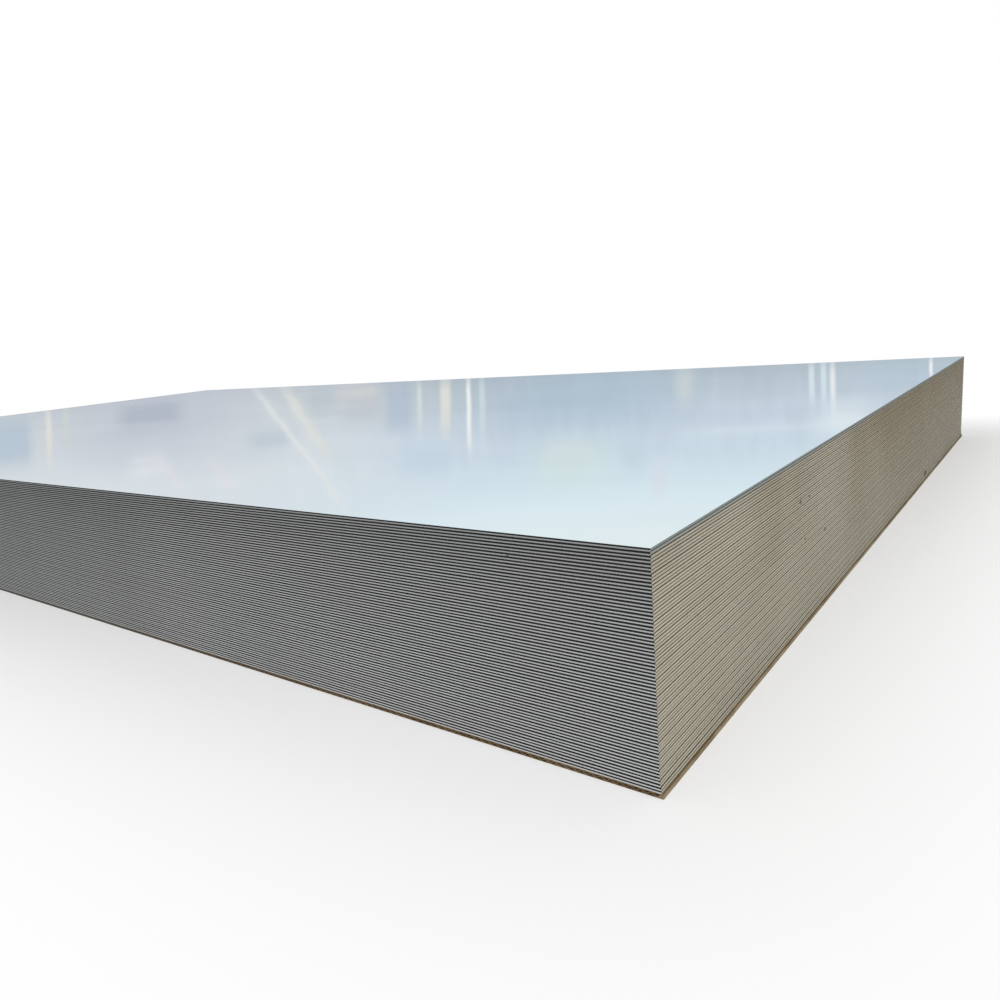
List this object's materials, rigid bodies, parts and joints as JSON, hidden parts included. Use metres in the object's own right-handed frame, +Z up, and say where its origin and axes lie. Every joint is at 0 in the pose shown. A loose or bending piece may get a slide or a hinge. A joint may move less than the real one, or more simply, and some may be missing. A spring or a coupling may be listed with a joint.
{
  "type": "stack of steel plates",
  "caption": "Pack of thin flat rectangular steel plates, laid square on one another over a sheet of corrugated cardboard.",
  "frame": {"origin": "middle of the pack's underside", "axes": "+X along the plates' length, +Y across their width, +Z up"},
  "size_m": [2.4414, 1.2192, 0.1454],
  "materials": {
    "steel": "cold-rolled, bright",
    "cardboard": "raw brown paper"
  },
  "bodies": {
    "root": {"top_plate": "steel", "lower_plates": "steel", "cardboard_sheet": "cardboard"}
  },
  "joints": []
}
